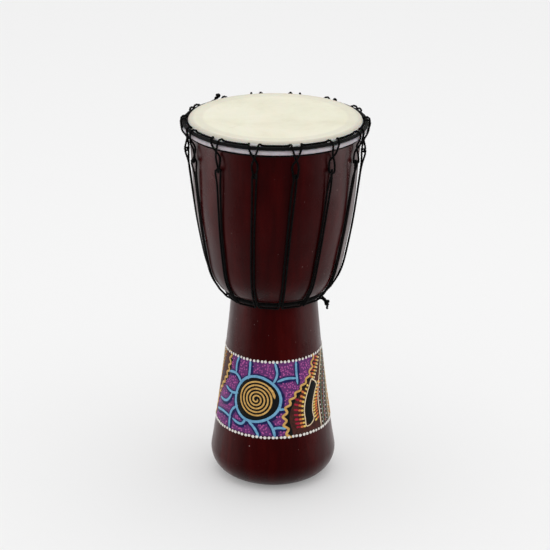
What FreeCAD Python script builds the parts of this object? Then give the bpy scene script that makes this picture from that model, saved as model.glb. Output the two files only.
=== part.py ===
"""A 400 mm rope-laced djembe: a carved goblet shell, a goatskin head and the rings and cord that stretch it.

Millimetres. The origin is the middle of the foot's resting face, +Z runs up the drum's axis, and -Y is the front.
A place on the drum is an azimuth (degrees, 0 at the front and growing towards +X), a radius and a height.
"""

import FreeCAD
import Part
import math
import os

Vector = FreeCAD.Vector
AXIS = Vector(0, 0, 1)
ORIGIN = Vector(0, 0, 0)

# ---- driving dimensions ----
HEAD_TOP = 400.0  # height of the playing face
SKIN = 0.8  # thickness of the goatskin
GAP = 0.05  # air left between pieces that only touch

# shell, outside
FOOT_FACE_R = 48.0  # outer edge of the flat that the drum stands on
FOOT_BELLY = (61.0, 8.0)  # a point half way round the foot's soft lower edge
FOOT_TOP = (67.7, 27.5)  # widest part of the foot, where the stem begins
STEM_MIDDLE = (54.5, 120.0)
WAIST = (45.4, 211.0)  # the neck, where stem and bowl meet
BOWL_UNDERSIDE = (53.4, 214.0)
BOWL_SHOULDER = (60.0, 218.4)
BOWL_SIDE = ((67.0, 229.5), (74.6, 256.0), (81.3, 294.0), (86.3, 342.0))
WALL_R = 89.6  # outside of the wall under the skin
WALL_TOP = 396.0  # height where the outside of the wall starts to round over
EDGE_ROUND = 3.2  # rounding of the bearing edge

# shell, inside
MOUTH_R = 40.0  # the opening under the foot
MOUTH_ROUND = 3.0
THROAT_R = 32.0
THROAT_LOW, THROAT_HIGH = 190.0, 216.0
CHAMBER = ((39.0, 224.0), (54.8, 241.0), (64.6, 265.0), (72.2, 300.0), (77.6, 345.0), (80.6, 386.0))
EDGE_INNER_R = 84.6  # inner limit of the bearing edge's top

# rings
HOOP_STEEL = 1.9  # radius of the flesh hoop's rod
CROWN_STEEL = 1.6
WAIST_STEEL = 1.7
CLOTH = 0.5  # thickness of the black cloth bound round a ring
CROWN_RING_R, CROWN_H = 94.35, 394.85  # centreline of the crown ring
HOOP_H = 390.35
WAIST_RING_R, WAIST_RING_H = 51.2, 210.4

# cords
CROWN_CORD = 1.25  # radius of the cord with the loops
BINDING_CORD = 1.25
BINDING_R, BINDING_H = 91.45, 386.35
LACING_CORD = 1.25
HITCHES = 14
HITCH_STEP = 360.0 / HITCHES
PAIR_HALF = 1.45  # half the distance between the two falls of a pair
LEAN = -6.0  # degrees that the lacing turns on its way down
LINK_H = 364.3  # where the lacing goes through a crown loop
LINK_R = 91.8
LINK_HALF = 1.85  # half the spread of a linked bight, sideways and in and out
LINK_CLEAR = 1.5  # half the height between the two linked bights
CROWN_KNOT_AZIMUTH, CROWN_KNOT, CROWN_KNOT_SIZE = -139.3, (94.0, 401.2), 2.6
LACING_KNOT_AZIMUTH, LACING_KNOT, LACING_KNOT_SIZE = 71.0, (59.2, 201.0), 3.3
CROWN_END = (92.2, 398.3)  # radius and height of the crown cord's end beside its knot
LOOP_HALF = 7.6  # half of a loop's share of the crown ring
GROOVE = (91.72, 397.03)  # radius and height of the crown cord between loops, behind the crown ring

# painted band round the stem
BAND_LOW, BAND_HIGH = 64.0, 145.5
PAINT = 0.4

SKIN_WALL_R = WALL_R + SKIN
HOOP_R = SKIN_WALL_R + HOOP_STEEL + GAP


# ---- geometry helpers ----
def place(azimuth, radius, height):
    """A point on the drum."""
    a = math.radians(azimuth)
    return Vector(radius * math.sin(a), -radius * math.cos(a), height)


def section(radius, height):
    """A point of a cross-section, drawn in the XZ plane before it is revolved."""
    return Vector(radius, 0, height)


def line(a, b):
    return Part.LineSegment(section(*a), section(*b)).toShape()


def arc(a, middle, b):
    return Part.Arc(section(*a), section(*middle), section(*b)).toShape()


def on_circle(centre, radius, angle):
    """A section point at an angle (degrees from outward) round a centre."""
    a = math.radians(angle)
    return centre[0] + radius * math.cos(a), centre[1] + radius * math.sin(a)


def round_arc(centre, radius, start, end):
    """An arc of a section about a centre, from one angle to another."""
    angles = (start, (start + end) / 2, end)
    return arc(*[on_circle(centre, radius, a) for a in angles])


def revolved(edges):
    """The solid that a closed outline makes round the drum's axis."""
    face = Part.Face(Part.Wire(edges))
    return face.revolve(ORIGIN, AXIS, 360)


def ring(radius, height, rod, bore=0.0):
    """A torus, hollow if bore is given."""
    solid = Part.makeTorus(radius, rod, Vector(0, 0, height), AXIS)
    if bore:
        solid = solid.cut(Part.makeTorus(radius, bore, Vector(0, 0, height), AXIS))
    return solid


def tangent_corner(before, corner, after):
    """Where an arc leaves and meets the two runs at a corner, with the arc's middle."""
    back, ahead = before - corner, after - corner
    turn = math.pi - back.getAngle(ahead)
    reach = 0.45 * min(back.Length, ahead.Length)
    back.normalize()
    ahead.normalize()
    radius = reach / math.tan(turn / 2)
    towards = (back + ahead).normalize()
    middle = corner + towards * (radius / math.cos(turn / 2) - radius)
    return corner + back * reach, middle, corner + ahead * reach, radius


def route(points, closed=False):
    """A wire of straight runs joined by tangent arcs, and the tightest of its radii."""
    count = len(points)
    inner = range(count) if closed else range(1, count - 1)
    corners = [
        tangent_corner(points[i - 1], points[i], points[(i + 1) % count]) for i in inner
    ]
    edges = []
    start = corners[-1][2] if closed else points[0]
    for leave, middle, meet, _ in corners:
        edges.append(Part.LineSegment(start, leave).toShape())
        edges.append(Part.Arc(leave, middle, meet).toShape())
        start = meet
    if not closed:
        edges.append(Part.LineSegment(start, points[-1]).toShape())
    return Part.Wire(edges), min(c[3] for c in corners)


def cord(name, points, radius, closed=False):
    """A round cord along a route. It prints its length, tightest bend and how true its volume is."""
    path, tightest = route(points, closed)
    first = path.OrderedEdges[0]
    start = first.valueAt(first.FirstParameter)
    along = first.tangentAt(first.FirstParameter)
    profile = Part.Wire(Part.makeCircle(radius, start, along))
    solid = Part.Solid(path.makePipeShell([profile], True, False))
    share = solid.Volume / (math.pi * radius**2 * path.Length)
    checked = f"volume {share:.4f}, {solid.isValid()}"
    print(f"{name}: {path.Length:.0f} mm, tightest bend {tightest:.2f}, {checked}")
    return solid


# ---- shell ----
def bowl_curve():
    """The outside of the bowl from its shoulder to the wall under the skin."""
    curve = Part.BSplineCurve()
    points = (BOWL_SHOULDER, *BOWL_SIDE, (WALL_R, HOOP_H))
    curve.interpolate([section(*p) for p in points])
    return curve


def off_bowl(curve, height, distance):
    """Radius and height of the point that stands off the bowl by a distance, at a height of its surface."""
    low, high = curve.FirstParameter, curve.LastParameter
    for _ in range(40):
        middle = (low + high) / 2
        if curve.value(middle).z < height:
            low = middle
        else:
            high = middle
    point, along = curve.value(low), curve.tangent(low)[0]
    return point.x + along.z * distance, point.z - along.x * distance


def chamber_curve():
    curve = Part.BSplineCurve()
    curve.interpolate([section(*p) for p in ((THROAT_R, THROAT_HIGH), *CHAMBER)])
    return curve


def make_shell(bowl):
    """One turned and hollowed piece of wood: foot, stem, waist and bowl."""
    shell_top = HEAD_TOP - SKIN
    edge_centre = (WALL_R - EDGE_ROUND, WALL_TOP)
    inside_top = CHAMBER[-1]
    mouth_side = (MOUTH_R, MOUTH_ROUND)
    mouth_edge = (MOUTH_R + MOUTH_ROUND, 0.0)
    mouth_centre = (MOUTH_R + MOUTH_ROUND, MOUTH_ROUND)
    outline = [
        line(mouth_edge, (FOOT_FACE_R, 0.0)),
        arc((FOOT_FACE_R, 0.0), FOOT_BELLY, FOOT_TOP),
        arc(FOOT_TOP, STEM_MIDDLE, WAIST),
        arc(WAIST, BOWL_UNDERSIDE, BOWL_SHOULDER),
        bowl.toShape(),
        line((WALL_R, HOOP_H), (WALL_R, WALL_TOP)),
        round_arc(edge_centre, EDGE_ROUND, 0, 90),
        line((edge_centre[0], shell_top), (EDGE_INNER_R, shell_top)),
        line((EDGE_INNER_R, shell_top), inside_top),
        chamber_curve().toShape(),
        line((THROAT_R, THROAT_HIGH), (THROAT_R, THROAT_LOW)),
        line((THROAT_R, THROAT_LOW), mouth_side),
        round_arc(mouth_centre, MOUTH_ROUND, 180, 270),
    ]
    return revolved(outline)


def make_painted_band():
    """The coat of dark ground paint that carries the dots and lines, on the stem's concave arc."""
    stem = arc(FOOT_TOP, STEM_MIDDLE, WAIST).Curve
    centre = (stem.Center.x, stem.Center.z)

    def at(height, out):
        radius = stem.Radius - out
        return centre[0] - math.sqrt(radius**2 - (height - centre[1]) ** 2), height

    middle = (BAND_LOW + BAND_HIGH) / 2
    outline = [
        arc(at(BAND_LOW, 0), at(middle, 0), at(BAND_HIGH, 0)),
        line(at(BAND_HIGH, 0), at(BAND_HIGH, PAINT)),
        arc(at(BAND_HIGH, PAINT), at(middle, PAINT), at(BAND_LOW, PAINT)),
        line(at(BAND_LOW, PAINT), at(BAND_LOW, 0)),
    ]
    return revolved(outline)


# ---- head ----
def make_skin():
    """The goatskin: a flat head, over the bearing edge, down the wall and round the flesh hoop."""
    edge = (WALL_R - EDGE_ROUND, WALL_TOP)
    hoop = (HOOP_R, HOOP_H)
    near = HOOP_STEEL + GAP
    far = near + SKIN
    tuck = 130  # angle round the hoop where the trimmed edge ends
    outline = [
        line((0.0, HEAD_TOP), (edge[0], HEAD_TOP)),
        round_arc(edge, EDGE_ROUND + SKIN, 90, 0),
        line((SKIN_WALL_R, WALL_TOP), (SKIN_WALL_R, HOOP_H)),
        round_arc(hoop, near, -180, tuck),
        line(on_circle(hoop, near, tuck), on_circle(hoop, far, tuck)),
        round_arc(hoop, far, tuck, -180),
        line((WALL_R, HOOP_H), (WALL_R, WALL_TOP)),
        round_arc(edge, EDGE_ROUND, 0, 90),
        line((edge[0], HEAD_TOP - SKIN), (0.0, HEAD_TOP - SKIN)),
        line((0.0, HEAD_TOP - SKIN), (0.0, HEAD_TOP)),
    ]
    return revolved(outline)


# ---- cords ----
def hitch_azimuth(number):
    return (number + 0.5) * HITCH_STEP


def local(azimuth, points):
    """Turns (sideways, radius, height) near an azimuth into points on the drum."""
    return [place(azimuth + math.degrees(s / r), r, h) for s, r, h in points]


def crown_loop(azimuth):
    """One loop: over the crown ring, down to its link with the lacing and back up, crossing itself."""
    down = [
        (-LOOP_HALF, *GROOVE),
        (-6.2, 91.9, 398.0),
        (-5.5, 93.0, 398.75),
        (-5.1, 95.6, 398.75),
        (-4.6, 97.95, 396.6),
        (-3.9, 97.7, 393.2),
        (-2.6, 96.5, 389.0),
        (-1.1, 93.65, 384.7),
        (1.0, 91.35, 380.8),
        (2.9, 91.2, 377.0),
        (3.2, 92.5, 372.0),
        (2.1, 93.7, 367.2),
    ]
    link = [
        (LINK_HALF, LINK_R + LINK_HALF, LINK_H - LINK_CLEAR),
        (-LINK_HALF, LINK_R - LINK_HALF, LINK_H - LINK_CLEAR),
    ]
    up = [
        (-2.1, 89.9, 367.2),
        (-3.2, 90.6, 372.0),
        (-3.0, 91.7, 377.0),
        (-1.0, 94.45, 380.8),
        (1.1, 96.55, 384.7),
        (2.6, 97.2, 389.0),
        (3.9, 97.7, 393.2),
        (4.6, 97.95, 396.6),
        (5.1, 95.6, 398.75),
        (5.5, 93.0, 398.75),
        (6.2, 91.9, 398.0),
        (LOOP_HALF, *GROOVE),
    ]
    return local(azimuth, down + link + up)


def groove(start, end, steps):
    """The cord's run from one loop to the next, in the groove between crown ring and skin."""
    return [place(start + (end - start) * i / steps, *GROOVE) for i in range(1, steps)]


def make_crown_rope():
    """The cord that makes all the loops, from one side of its knot round to the other."""
    last = round(CROWN_KNOT_AZIMUTH / HITCH_STEP - 0.5) + HITCHES
    beside = math.degrees(LOOP_HALF / GROOVE[0])
    start = CROWN_KNOT_AZIMUTH + 3.2
    points = [place(start, *CROWN_END)]
    points += groove(start, hitch_azimuth(last - HITCHES + 1) - beside, 4)
    for number in range(last - HITCHES + 1, last):
        here = hitch_azimuth(number)
        points += crown_loop(here)
        points += groove(here + beside, here + HITCH_STEP - beside, 4)
    points += crown_loop(hitch_azimuth(last))[:-2]
    return cord("crown_rope", points, CROWN_CORD)


def strand(bowl, azimuth, side):
    """One fall of the lacing, from under its link down over the bowl to the shoulder."""
    off = LACING_CORD + 0.4
    low_r, low_h = off_bowl(bowl, 300.0, off)
    points = [(360.5, 1.9, LINK_R - side * LINK_HALF)]
    for height, half in ((350.0, 2.0), (332.0, 1.8), (312.0, 1.6)):
        share = (height - low_h) / (LINK_H - low_h)
        points.append((height, half, low_r + share * (LINK_R - low_r)))
    on_bowl = (294, 276, 261, 248, 238, 230, 224, 220)
    for surface in on_bowl:
        radius, height = off_bowl(bowl, surface, off)
        points.append((height, PAIR_HALF, radius))
    total = LINK_H - WAIST_RING_H
    return [
        place(azimuth + LEAN * (LINK_H - h) / total + math.degrees(side * half / r), r, h)
        for h, half, r in points
    ]


def under_ring(azimuth, side):
    """Where a fall goes round the outside of the waist ring and turns along under it."""
    half = side * PAIR_HALF
    return local(
        azimuth + LEAN,
        [
            (half, 60.9, 216.0),
            (half, 56.4, 211.1),
            (half * 1.3, 54.0, 207.7),
            (half * 2.6, 51.2, 206.6),
        ],
    )


def make_lacing(bowl):
    """The long cord, zigzagging between crown loops and waist ring from one side of its knot to the other."""
    first = math.ceil((LACING_KNOT_AZIMUTH - LEAN) / HITCH_STEP - 0.5)
    tail = [(2.2, 53.4, 206.1), (1.8, 56.0, 204.9), (1.7, 57.4, 203.1)]
    points = [place(LACING_KNOT_AZIMUTH + side, r, h) for side, r, h in tail[::-1]]
    for number in range(first, first + HITCHES):
        here = hitch_azimuth(number)
        points += under_ring(here, -1)[::-1]
        points += strand(bowl, here, -1)[::-1]
        points += local(
            here,
            [
                (-LINK_HALF, LINK_R + LINK_HALF, LINK_H + LINK_CLEAR),
                (LINK_HALF, LINK_R - LINK_HALF, LINK_H + LINK_CLEAR),
            ],
        )
        points += strand(bowl, here, 1)
        points += under_ring(here, 1)
    points += [place(LACING_KNOT_AZIMUTH - side, r, h) for side, r, h in tail]
    return cord("lacing_rope", points, LACING_CORD)


def make_crown_knot():
    """The knot that joins the crown cord's two ends, on top of the crown ring."""
    return Part.makeSphere(CROWN_KNOT_SIZE, place(CROWN_KNOT_AZIMUTH, *CROWN_KNOT))


def make_lacing_knot():
    """The knot that joins the lacing's two ends, hanging outside the waist ring."""
    return Part.makeSphere(LACING_KNOT_SIZE, place(LACING_KNOT_AZIMUTH, *LACING_KNOT))


def main():
    bowl = bowl_curve()
    parts = {
        "shell": make_shell(bowl),
        "painted_band": make_painted_band(),
        "drumhead_skin": make_skin(),
        "flesh_hoop": ring(HOOP_R, HOOP_H, HOOP_STEEL),
        "crown_ring": ring(CROWN_RING_R, CROWN_H, CROWN_STEEL),
        "crown_ring_cloth": ring(CROWN_RING_R, CROWN_H, CROWN_STEEL + CLOTH, CROWN_STEEL),
        "crown_rope": make_crown_rope(),
        "crown_rope_knot": make_crown_knot(),
        "binding_cord": ring(BINDING_R, BINDING_H, BINDING_CORD),
        "waist_ring": ring(WAIST_RING_R, WAIST_RING_H, WAIST_STEEL),
        "waist_ring_cloth": ring(WAIST_RING_R, WAIST_RING_H, WAIST_STEEL + CLOTH, WAIST_STEEL),
        "lacing_rope": make_lacing(bowl),
        "lacing_knot": make_lacing_knot(),
    }
    os.makedirs("parts", exist_ok=True)
    for name, shape in parts.items():
        shape.exportStep(f"parts/{name}.step")


main()
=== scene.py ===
"""The visual model of a rope-laced djembe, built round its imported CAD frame.

Sizes are in millimetres and are turned into metres as each mesh is made. A place on the drum is an azimuth
(degrees, 0 at the front and growing towards +X), a radius and a height.
"""

import math
import random

import bmesh
import bpy
import numpy as np
from mathutils import Matrix, Vector, noise


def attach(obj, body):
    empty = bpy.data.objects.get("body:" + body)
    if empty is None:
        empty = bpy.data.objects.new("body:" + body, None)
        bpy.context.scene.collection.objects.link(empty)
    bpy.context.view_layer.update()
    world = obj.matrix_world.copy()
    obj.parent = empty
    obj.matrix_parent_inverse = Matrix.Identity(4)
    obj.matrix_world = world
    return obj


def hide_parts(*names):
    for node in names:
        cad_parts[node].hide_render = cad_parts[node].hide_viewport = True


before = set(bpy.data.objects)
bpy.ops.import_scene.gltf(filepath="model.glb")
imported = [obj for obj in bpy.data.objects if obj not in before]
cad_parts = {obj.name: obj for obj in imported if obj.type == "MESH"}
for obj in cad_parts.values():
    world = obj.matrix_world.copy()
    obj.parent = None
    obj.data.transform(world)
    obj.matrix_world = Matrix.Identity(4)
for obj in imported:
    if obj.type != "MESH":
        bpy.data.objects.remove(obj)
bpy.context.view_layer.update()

MM = 0.001
BODY = "root"

# ---- the drum's sizes, as in the CAD; a pair is (radius, height) ----
HEAD_TOP, SKIN, GAP = 400.0, 0.8, 0.05
FOOT_FACE_R, FOOT_BELLY, FOOT_TOP = 48.0, (61.0, 8.0), (67.7, 27.5)
STEM_MIDDLE, WAIST = (54.5, 120.0), (45.4, 211.0)
BOWL_UNDERSIDE, BOWL_SHOULDER = (53.4, 214.0), (60.0, 218.4)
BOWL_SIDE = ((67.0, 229.5), (74.6, 256.0), (81.3, 294.0), (86.3, 342.0))
WALL_R, WALL_TOP, EDGE_ROUND = 89.6, 396.0, 3.2
MOUTH_R, MOUTH_ROUND, THROAT_R, THROAT_LOW, THROAT_HIGH = 40.0, 3.0, 32.0, 190.0, 216.0
CHAMBER = ((39.0, 224.0), (54.8, 241.0), (64.6, 265.0), (72.2, 300.0), (77.6, 345.0), (80.6, 386.0))
EDGE_INNER_R = 84.6
HOOP_STEEL, CROWN_STEEL, WAIST_STEEL, CLOTH = 1.9, 1.6, 1.7, 0.5
HOOP_R, HOOP_H = WALL_R + SKIN + HOOP_STEEL + GAP, 390.35
CROWN_RING_R, CROWN_H = 94.35, 394.85
WAIST_RING_R, WAIST_RING_H = 51.2, 210.4
CROWN_CORD, BINDING_CORD, LACING_CORD = 1.25, 1.25, 1.25
BINDING_R, BINDING_H = 91.45, 386.35
HITCHES = 14
HITCH_STEP = 360.0 / HITCHES
LEAN = -6.0  # degrees that the lacing turns on its way down
PAIR_HALF = 1.45  # half the distance between the two falls of a pair
LINK_R, LINK_H, LINK_HALF, LINK_CLEAR = 91.8, 364.3, 1.85, 1.5  # where the lacing goes through a loop
GROOVE, LOOP_HALF = (91.72, 397.03), 7.6  # where the crown cord lies between loops, and half a loop's width
CROWN_END = (92.2, 398.3)
CROWN_KNOT_AZIMUTH, CROWN_KNOT = -139.3, (94.0, 401.2)
LACING_KNOT_AZIMUTH, LACING_KNOT = 71.0, (59.2, 201.0)
BAND_LOW, BAND_HIGH = 64.0, 145.5


# ---- points and curves ----
def place(azimuth, radius, height):
    a = math.radians(azimuth)
    return Vector((radius * math.sin(a), -radius * math.cos(a), height))


def local(azimuth, points):
    """Turns (sideways, radius, height) near an azimuth into points on the drum."""
    return [place(azimuth + math.degrees(s / r), r, h) for s, r, h in points]


def circle_through(a, b, c):
    """Centre and radius of the circle through three points of a section."""
    (ax, ay), (bx, by), (cx, cy) = a, b, c
    d = 2 * (ax * (by - cy) + bx * (cy - ay) + cx * (ay - by))
    aa, bb, cc = ax * ax + ay * ay, bx * bx + by * by, cx * cx + cy * cy
    x = (aa * (by - cy) + bb * (cy - ay) + cc * (ay - by)) / d
    y = (aa * (cx - bx) + bb * (ax - cx) + cc * (bx - ax)) / d
    return (x, y), math.hypot(ax - x, ay - y)


def arc(a, middle, b, count):
    """Points along the arc from a through middle to b, without b itself."""
    (x, y), radius = circle_through(a, middle, b)
    start, half, end = (math.atan2(p[1] - y, p[0] - x) for p in (a, middle, b))
    turn = (end - start) % math.tau
    if (half - start) % math.tau > turn:
        turn -= math.tau
    angles = [start + turn * i / count for i in range(count)]
    return [(x + radius * math.cos(t), y + radius * math.sin(t)) for t in angles]


def round_arc(centre, radius, start, end, count):
    """Points round a centre from one angle to another, in degrees, without the last."""
    angles = [math.radians(start + (end - start) * i / count) for i in range(count)]
    return [(centre[0] + radius * math.cos(t), centre[1] + radius * math.sin(t)) for t in angles]


def run(a, b, count):
    return [(a[0] + (b[0] - a[0]) * i / count, a[1] + (b[1] - a[1]) * i / count) for i in range(count)]


def spline(points, count):
    """Points along the natural cubic spline through a section's points, without the last."""
    p = np.array(points, float)
    t = np.concatenate([[0.0], np.cumsum(np.linalg.norm(np.diff(p, axis=0), axis=1))])
    n, h = len(t), np.diff(t)
    a, b = np.eye(n), np.zeros((n, p.shape[1]))
    for i in range(1, n - 1):
        a[i, i - 1 : i + 2] = h[i - 1], 2 * (h[i - 1] + h[i]), h[i]
        b[i] = 6 * ((p[i + 1] - p[i]) / h[i] - (p[i] - p[i - 1]) / h[i - 1])
    m = np.linalg.solve(a, b)
    made = []
    for s in np.linspace(0, t[-1], count + 1)[:-1]:
        i = min(int(np.searchsorted(t, s, side="right")) - 1, n - 2)
        u, w = t[i + 1] - s, s - t[i]
        value = (m[i] * u**3 + m[i + 1] * w**3) / (6 * h[i])
        value += (p[i] / h[i] - m[i] * h[i] / 6) * u + (p[i + 1] / h[i] - m[i + 1] * h[i] / 6) * w
        made.append(tuple(value))
    return made


STEM_CENTRE, STEM_R = circle_through(FOOT_TOP, STEM_MIDDLE, WAIST)
BOWL = spline((BOWL_SHOULDER, *BOWL_SIDE, (WALL_R, HOOP_H)), 120) + [(WALL_R, HOOP_H)]
UNDERSIDE = arc(WAIST, BOWL_UNDERSIDE, BOWL_SHOULDER, 12)


def stem_radius(height):
    return STEM_CENTRE[0] - math.sqrt(STEM_R**2 - (height - STEM_CENTRE[1]) ** 2)


def off_bowl(height, distance):
    """Radius and height of the point that stands off the bowl by a distance, at a height of its surface."""
    i = max(1, min(len(BOWL) - 2, sum(p[1] < height for p in BOWL)))
    (r0, h0), (r1, h1) = BOWL[i - 1], BOWL[i]
    share = (height - h0) / (h1 - h0)
    dr, dh = r1 - r0, h1 - h0
    length = math.hypot(dr, dh)
    return r0 + dr * share + dh / length * distance, height - dr / length * distance


# ---- meshes ----
def new_object(name, data):
    obj = bpy.data.objects.new(name, data)
    bpy.context.scene.collection.objects.link(obj)
    return obj


def mesh_piece(name, verts, faces, materials, replaced, outward=True):
    """A smooth-shaded piece from points in millimetres, in place of the CAD nodes named in replaced."""
    mesh = bpy.data.meshes.new(name)
    mesh.from_pydata([tuple(c * MM for c in v) for v in verts], [], faces)
    if outward:
        shape = bmesh.new()
        shape.from_mesh(mesh)
        bmesh.ops.recalc_face_normals(shape, faces=shape.faces)
        shape.to_mesh(mesh)
        shape.free()
    mesh.shade_smooth()
    for material in materials:
        mesh.materials.append(material)
    obj = new_object(name, mesh)
    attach(obj, BODY)
    if replaced:
        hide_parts(*replaced)
    return obj


def keep_lay(obj, coords):
    """Keeps a cord's or tape's own coordinates on its points, for its material."""
    lay = obj.data.attributes.new("lay", "FLOAT_VECTOR", "POINT")
    lay.data.foreach_set("vector", [x for c in coords for x in c])


def grid_faces(rows, cols, close_rows=False, close_cols=False):
    """Quads over a grid of points stored row by row."""

    def number(i, j):
        return i % rows * cols + j % cols

    return [
        (number(i, j), number(i, j + 1), number(i + 1, j + 1), number(i + 1, j))
        for i in range(rows if close_rows else rows - 1)
        for j in range(cols if close_cols else cols - 1)
    ]


def lathe(profile, count, shape, closed=True):
    """Rows of points round the drum's axis for a section; shape moves each point a little.

    A section that isn't closed starts and ends beside the axis, and a small round face fills each end.
    """
    verts = []
    for i in range(count):
        azimuth = 360.0 * i / count
        verts += [place(azimuth, *shape(azimuth, radius, height)) for radius, height in profile]
    size = len(profile)
    faces = grid_faces(count, size, True, closed)
    if not closed:
        faces += [tuple(range(0, count * size, size)), tuple(range(size - 1, count * size, size))]
    return verts, faces


# ---- materials ----
def new_material(name, base, rough, **sockets):
    """A Principled material; sockets are its shader's own values, by name with underscores."""
    material = bpy.data.materials.new(name)
    material.use_nodes = True
    shader = material.node_tree.nodes["Principled BSDF"]
    shader.inputs["Base Color"].default_value = (*base, 1)
    shader.inputs["Roughness"].default_value = rough
    for key, value in sockets.items():
        shader.inputs[key.replace("_", " ")].default_value = value
    return material


class Nodes:
    """Short ways to add and link the nodes of one material, or of the world."""

    def __init__(self, owner, shader="Principled BSDF", coords="Object"):
        self.tree = owner.node_tree
        self.shader = self.tree.nodes[shader]
        self.coords = self.tree.nodes.new("ShaderNodeTexCoord").outputs[coords]

    def add(self, kind, links=(), **values):
        node = self.tree.nodes.new(kind)
        for key, value in values.items():
            setattr(node, key, value)
        for socket, source in dict(links).items():
            if isinstance(source, bpy.types.NodeSocket):
                self.tree.links.new(source, node.inputs[socket])
            else:
                node.inputs[socket].default_value = source
        return node

    def scaled(self, x, y, z, source=None):
        """Coordinates multiplied along each axis."""
        links = {"Vector": source or self.coords, "Scale": (x, y, z)}
        return self.add("ShaderNodeMapping", links).outputs["Vector"]

    def noise(self, scale, detail=3.0, rough=0.5, vector=None, distortion=0.0):
        links = {"Vector": vector or self.coords, "Scale": scale, "Detail": detail, "Roughness": rough}
        return self.add("ShaderNodeTexNoise", links | {"Distortion": distortion}).outputs["Fac"]

    def ramp(self, source, stops):
        """A colour ramp through (position, colour) stops."""
        node = self.add("ShaderNodeValToRGB", {"Fac": source})
        ramp = node.color_ramp
        while len(ramp.elements) < len(stops):
            ramp.elements.new(0.5)
        for element, (position, colour) in zip(ramp.elements, stops):
            element.position = position
            element.color = (*colour, 1)
        return node.outputs["Color"]

    def mix(self, share, a, b):
        """Colour b laid over colour a by a share of 0 to 1."""
        a, b = (c if isinstance(c, bpy.types.NodeSocket) else (*c, 1) for c in (a, b))
        return self.add("ShaderNodeMix", {0: share, 6: a, 7: b}, data_type="RGBA").outputs[2]

    def times(self, a, b):
        return self.add("ShaderNodeMath", {0: a, 1: b}, operation="MULTIPLY").outputs[0]

    def span(self, source, low, high, to_low=0.0, to_high=1.0):
        """A value that goes from to_low to to_high while the source goes from low to high."""
        links = {"Value": source, "From Min": low, "From Max": high, "To Min": to_low, "To Max": to_high}
        return self.add("ShaderNodeMapRange", links).outputs["Result"]

    def axis(self, name, source=None):
        return self.add("ShaderNodeSeparateXYZ", {0: source or self.coords}).outputs[name]

    def radius(self):
        """Distance from the drum's axis, in metres."""
        flat = self.scaled(1, 1, 0)
        return self.add("ShaderNodeVectorMath", {0: flat}, operation="LENGTH").outputs["Value"]

    def lay(self):
        """The coordinates kept by keep_lay."""
        return self.add("ShaderNodeAttribute", attribute_name="lay").outputs["Vector"]

    def set(self, socket, source):
        self.tree.links.new(source, self.shader.inputs[socket])

    def bump(self, layers):
        """Stacks bumps given as (height, distance in metres)."""
        normal = None
        for source, distance in layers:
            links = {"Height": source, "Distance": distance, "Strength": 1.0}
            if normal:
                links["Normal"] = normal
            normal = self.add("ShaderNodeBump", links).outputs["Normal"]
        self.set("Normal", normal)


def lacquer_material():
    """Dark red-brown stain in close-grained wood, under a clear lacquer with small dents and dust."""
    tint = (0.12, 0.05, 0.05, 1)
    material = new_material("mahogany_lacquer", (0.03, 0.001, 0.001), 0.3, IOR=1.4, Specular_Tint=tint)
    n = Nodes(material)
    grain = n.noise(55, 6, 0.62, n.scaled(1, 1, 0.07), 0.6)
    pores = n.noise(900, 2, 0.5, n.scaled(1, 1, 0.035))
    cloud = n.noise(16, 3)
    dark, middle, light = (0.012, 0.0004, 0.0005), (0.024, 0.0006, 0.0007), (0.042, 0.0016, 0.0014)
    stain = n.ramp(grain, ((0.3, dark), (0.55, middle), (0.8, light)))
    stain = n.mix(n.span(cloud, 0.4, 0.75, 0.0, 0.55), stain, (0.010, 0.0004, 0.0005))
    stain = n.mix(n.span(pores, 0.66, 0.72, 0.0, 0.5), stain, (0.005, 0.0004, 0.0004))
    speck = n.noise(420, 1, 0.4)
    worn = n.span(speck, 0.795, 0.81, 0.0, 0.55)
    n.set("Base Color", n.mix(worn, stain, (0.30, 0.20, 0.19)))
    haze = n.noise(30, 5, 0.6)
    n.set("Roughness", n.span(haze, 0.3, 0.75, 0.22, 0.4))
    ripple = n.noise(26, 2, 0.4, n.scaled(1, 1, 0.5))
    n.bump(((ripple, 0.0009), (pores, 0.00003), (speck, 0.00006)))
    return material


def raw_wood_material():
    """The shell's unlacquered inside, with the gouge's marks."""
    material = new_material("raw_carved_wood", (0.2, 0.1, 0.05), 0.8)
    n = Nodes(material)
    grain = n.noise(60, 7, 0.65, n.scaled(1, 1, 0.06), 0.8)
    dark, middle, light = (0.075, 0.032, 0.016), (0.17, 0.08, 0.038), (0.26, 0.135, 0.07)
    n.set("Base Color", n.ramp(grain, ((0.25, dark), (0.55, middle), (0.8, light))))
    n.set("Roughness", n.span(grain, 0.2, 0.8, 0.7, 0.92))
    n.bump(((n.noise(140, 3), 0.0006), (grain, 0.0004)))
    return material


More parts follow.
